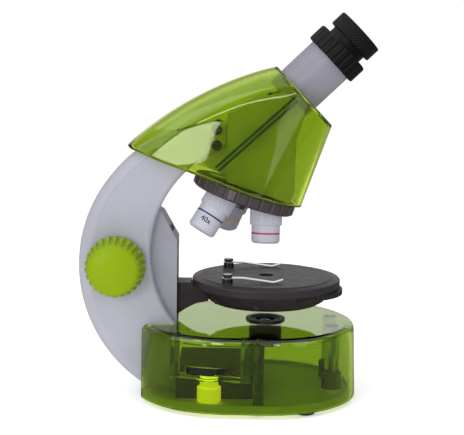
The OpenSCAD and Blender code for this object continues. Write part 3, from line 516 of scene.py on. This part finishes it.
def build_hood():
    """A smooth wall from the lower edge up to the round face, then the face with the tube's hole."""
    form = hood_form()
    tree = BVHTree.FromBMesh(form)
    bottom = along(lower_edge(), AROUND)
    bottom[0].y = bottom[-1].y = 0.0
    core_low, core_high = Vector((-22, 0, 127)), FACE_MIDDLE - EYE_AXIS * 6
    rows = []
    for k in range(UP + 1):
        t = k / UP
        row = []
        for i, low in enumerate(bottom):
            angle = math.pi * i / (AROUND - 1)
            high = (FACE_MIDDLE - EYE_AXIS * 0.9 + EYE_DOWN * FACE_R * math.cos(angle)
                    + Vector((0, FACE_R * math.sin(angle), 0)))
            point = low.lerp(high, t)
            if 0 < k < UP:
                core = core_low.lerp(core_high, t)
                hit = tree.ray_cast(core, point - core)[0]
                if hit is not None:
                    point = hit
            row.append(point)
        rows.append(row)
    form.free()
    for _ in range(SMOOTHING):
        fresh = [list(row) for row in rows]
        for k in range(1, UP):
            for i in range(AROUND):
                left = rows[k][i - 1] if i else rows[k][1] * Vector((1, -1, 1))
                right = rows[k][i + 1] if i < AROUND - 1 else rows[k][-2] * Vector((1, -1, 1))
                mean = (left + right + rows[k - 1][i] + rows[k + 1][i]) / 4
                fresh[k][i] = rows[k][i].lerp(mean, 0.6)
        rows = fresh
    for back, radius in ((0.3, FACE_R - 0.3), (0.0, FACE_R - 0.9)):
        rows.append([FACE_MIDDLE - EYE_AXIS * back + EYE_DOWN * radius * math.cos(a)
                     + Vector((0, radius * math.sin(a), 0))
                     for a in (math.pi * i / (AROUND - 1) for i in range(AROUND))])
    centre = MIRROR + EYE_AXIS * FACE_S
    outer = rows[-1]
    for t in (0.4, 0.8, 1.0):
        hole = [centre + EYE_DOWN * HOLE_R * math.cos(a) + Vector((0, HOLE_R * math.sin(a), 0))
                for a in (math.pi * i / (AROUND - 1) for i in range(AROUND))]
        rows.append([p.lerp(q, t) for p, q in zip(outer, hole)])
    bm = bmesh.new()
    grid = []
    for row in rows:
        near = [bm.verts.new((p.x, -p.y, p.z)) for p in row]
        far = [bm.verts.new(p) for p in row[1:-1]]
        grid.append(near + far[::-1])
    for low, high in zip(grid, grid[1:]):
        for i in range(len(low)):
            j = (i + 1) % len(low)
            bm.faces.new((low[i], high[i], high[j], low[j]))
    bmesh.ops.recalc_face_normals(bm, faces=bm.faces)
    if max(bm.faces, key=lambda f: f.calc_center_median().x).normal.x < 0:
        bmesh.ops.reverse_faces(bm, faces=bm.faces)
    hood = piece("hood_shell", bm, hood_lime, frame_body["hood"], sharp=38)
    wall = hood.modifiers.new("wall", "SOLIDIFY")
    wall.thickness = HOOD_WALL * MM
    wall.offset = -1
    wall.use_even_offset = True
    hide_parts("hood")


def build_hood_ribs():
    """Two thin ribs side by side on the inside of each of the hood's walls, in line with the eyepiece."""
    form = hood_form()
    tree = BVHTree.FromBMesh(form)
    start, end = Vector((14.5, 0, 173)), Vector((-28.5, 0, 134))
    run = (end - start).normalized()
    for side, name in ((-1, "hood_ribs_left"), (1, "hood_ribs_right")):
        bm = bmesh.new()
        outward = Vector((0, side, 0))
        across = run.cross(outward)
        for shift in (-1.15, 1.15):
            points = []
            for i in range(15):
                p = start.lerp(end, i / 14) + across * shift
                hit = tree.ray_cast(p, outward)[0]
                points.append(hit - outward * (HOOD_WALL + 1.7))
            bar(bm, points, across, outward, 1.5, 1.3)
        bmesh.ops.recalc_face_normals(bm, faces=bm.faces)
        ribs = piece(name, bm, rib_green, frame_body["hood"], sharp=30)
    form.free()


# ------------------------------------------------------------------ objectives

OBJECTIVES = (
    ("4x", 0, "objective_4x", band_red),
    ("40x", 1, "objective_40x", band_blue),
    ("10x", 2, "objective_10x", band_yellow),
)
# Heights on the objective's own axis, below the disc
BARREL_R = 8.05
BAND_LOW = -14.4
BAND_HIGH = -13.5
MARK_Z = -17.6
MARK_HEIGHT = 4.2
RING_OUT = -NOSE_POINT.x / math.cos(NOSE_TILT)


def objective_frame(number):
    """Origin where objective's axis crosses the disc's lower face, +Z up the objective."""
    turned = Matrix.Rotation(-NOSE_TURN - math.radians(120 * number), 4, "Z")
    disc = frame_at(NOSE_POINT, NOSE_SIDE, NOSE_UP) @ turned
    return disc @ Matrix.Translation((RING_OUT, 0, 0)) @ Matrix.Rotation(-NOSE_TILT, 4, "Y")


def lettering(text, height):
    """Flat lettering as a bmesh, centred, in millimetres."""
    curve = bpy.data.curves.new(text, "FONT")
    curve.body = text
    curve.size = height
    curve.offset = 0.07
    curve.align_x = "CENTER"
    curve.align_y = "CENTER"
    curve.resolution_u = 3
    holder = bpy.data.objects.new(text, curve)
    bpy.context.scene.collection.objects.link(holder)
    bpy.context.view_layer.update()
    mesh = bpy.data.meshes.new_from_object(holder)
    bm = bmesh.new()
    bm.from_mesh(mesh)
    bpy.data.objects.remove(holder)
    bpy.data.curves.remove(curve)
    bpy.data.meshes.remove(mesh)
    return bm


def build_objective_bands():
    for label, number, node, band in OBJECTIVES:
        place = objective_frame(number)
        bm = bmesh.new()
        inner, outer = BARREL_R - 0.2, BARREL_R + 0.06
        lathe(bm, [(inner, BAND_LOW), (outer, BAND_LOW), (outer, BAND_HIGH), (inner, BAND_HIGH)], place)
        bmesh.ops.recalc_face_normals(bm, faces=bm.faces)
        ring = piece("band_" + label, bm, band, frame_body[node], sharp=30)
        bm = lettering(label, MARK_HEIGHT)
        facing = math.atan2(-1.0, -0.2) if number == 1 else 0.0
        outward = place.to_3x3().inverted() @ Vector((math.cos(facing), math.sin(facing), 0))
        middle = math.atan2(outward.y, outward.x)
        for v in bm.verts:
            angle = middle + v.co.x / BARREL_R
            r = BARREL_R + 0.05
            v.co = place @ Vector((r * math.cos(angle), r * math.sin(angle), MARK_Z + v.co.y))
        bmesh.ops.recalc_face_normals(bm, faces=bm.faces)
        mark = piece("mark_" + label, bm, mark_black, frame_body[node])


# ------------------------------------------------------------------ stage set

# Strength of the room round the object, and what the backdrop adds seen directly and through clear parts
ROOM = 0.20
BACKDROP_SEEN = 0.82
BACKDROP_THROUGH = 0.42
HOOD_MIDDLE = Vector((-0.035, -0.022, 0.148))
BASE_MIDDLE = Vector((-0.01, -0.05, 0.041))


FLOOR_GLOW = 0.35


def add_floor():
    """A pale floor that looks darker to mirror-like reflections, so clear walls stay deep in colour."""
    bm = bmesh.new()
    bmesh.ops.create_circle(bm, cap_ends=True, segments=96, radius=0.5)
    mesh = bpy.data.meshes.new("floor")
    bm.to_mesh(mesh)
    bm.free()
    floor = bpy.data.objects.new("floor", mesh)
    bpy.context.scene.collection.objects.link(floor)
    mat, tree, bsdf = material("floor")
    path = tree.nodes.new("ShaderNodeLightPath")
    glossy, through = path.outputs["Is Glossy Ray"], path.outputs["Is Transmission Ray"]
    mirrored = calculate(tree, "GREATER_THAN", glossy, through)
    pale = ramp(tree, noise(tree, 3, 2), (0.93, 0.93, 0.93), (0.95, 0.95, 0.95))
    tree.links.new(blend(tree, mirrored, pale, (0.25, 0.25, 0.25)), bsdf.inputs["Base Color"])
    glow = calculate(tree, "MULTIPLY_ADD", mirrored, -FLOOR_GLOW, FLOOR_GLOW)
    tree.links.new(glow, bsdf.inputs["Emission Strength"])
    bsdf.inputs["Roughness"].default_value = 0.9
    bsdf.inputs["Specular IOR Level"].default_value = 0.1
    bsdf.inputs["Emission Color"].default_value = (1, 1, 1, 1)
    mesh.materials.append(mat)


def towards(middle, azimuth, elevation, distance):
    """The point at a distance from middle in the given direction."""
    az, el = math.radians(azimuth), math.radians(elevation)
    level = math.cos(el)
    return middle + distance * Vector((math.cos(az) * level, math.sin(az) * level, math.sin(el)))


def add_light(name, location, target, size, power, roll=0.0, through=True):
    data = bpy.data.lights.new(name, "AREA")
    data.shape = "RECTANGLE"
    data.size, data.size_y = size
    data.energy = power
    light = bpy.data.objects.new(name, data)
    light.location = location
    facing = (Vector(target) - Vector(location)).to_track_quat("-Z", "Y")
    light.rotation_euler = (facing @ Quaternion((0, 0, 1), math.radians(roll))).to_euler()
    light.visible_camera = False
    light.visible_transmission = through
    bpy.context.scene.collection.objects.link(light)


CAMERA_AT = (-0.0141, -0.7303, 0.2159)


def add_camera():
    data = bpy.data.cameras.new("camera")
    data.lens = 99.9
    data.sensor_width = 36
    data.clip_start = 0.01
    camera = bpy.data.objects.new("camera", data)
    azimuth, pitch, roll = math.radians(0.48), math.radians(8.75), math.radians(0.85)
    heading = Matrix.Rotation(azimuth, 4, "Z")
    tip = Matrix.Rotation(math.pi / 2 - pitch, 4, "X")
    lean = Matrix.Rotation(roll, 4, "Z")
    camera.matrix_world = Matrix.Translation(CAMERA_AT) @ heading @ tip @ lean
    bpy.context.scene.collection.objects.link(camera)
    bpy.context.scene.camera = camera


def add_world():
    """A white backdrop seen directly and, dimmer, through clear parts, in a dark room round the lights."""
    world = bpy.data.worlds.new("studio")
    world.use_nodes = True
    tree = world.node_tree
    path = tree.nodes.new("ShaderNodeLightPath")
    seen = calculate(tree, "MULTIPLY_ADD", path.outputs["Is Camera Ray"], BACKDROP_SEEN, ROOM)
    strength = calculate(tree, "MULTIPLY_ADD", path.outputs["Is Transmission Ray"], BACKDROP_THROUGH, seen)
    tree.links.new(strength, tree.nodes["Background"].inputs["Strength"])
    tree.nodes["Background"].inputs["Color"].default_value = (1, 1, 1, 1)
    bpy.context.scene.world = world


frame_body = {}
for body_name in frame["bodies"]:
    for node_name in frame["record"]["behaviour"]["bodies"].get(body_name, []):
        frame_body[node_name] = body_name

build_hood()
build_hood_ribs()
build_objective_bands()

bpy.context.scene.view_settings.view_transform = "Standard"
add_floor()
add_camera()
add_world()
# Large soft lights, two panels for the hood's pale reflections, two thin ones for the base's edge
add_light("key", (-0.90, -0.55, 0.95), (0, 0, 0.12), (1.2, 1.2), 6.0)
add_light("strip", towards(HOOD_MIDDLE, -114.9, 9.4, 1.5), HOOD_MIDDLE, (0.745, 0.40), 6.2, roll=57.5)
add_light("soft", towards(HOOD_MIDDLE, -74.2, 12.6, 1.5), HOOD_MIDDLE, (0.437, 1.0), 1.6, roll=54)
add_light("glint_left", towards(BASE_MIDDLE, -104, 30, 1.3), BASE_MIDDLE, (0.30, 0.05), 0.35)
add_light("glint_right", towards(BASE_MIDDLE, -74, 30, 1.3), BASE_MIDDLE, (0.18, 0.05), 0.22)
add_light("back", (0, 1.35, 0.36), (0, 0, 0.06), (1.5, 0.5), 1.8, through=False)
add_light("top", (0, 0.1, 1.3), (0, 0, 0.1), (2.2, 2.2), 16)
add_light("fill", (0.95, -0.75, 0.45), (0, 0, 0.1), (0.7, 0.9), 3)
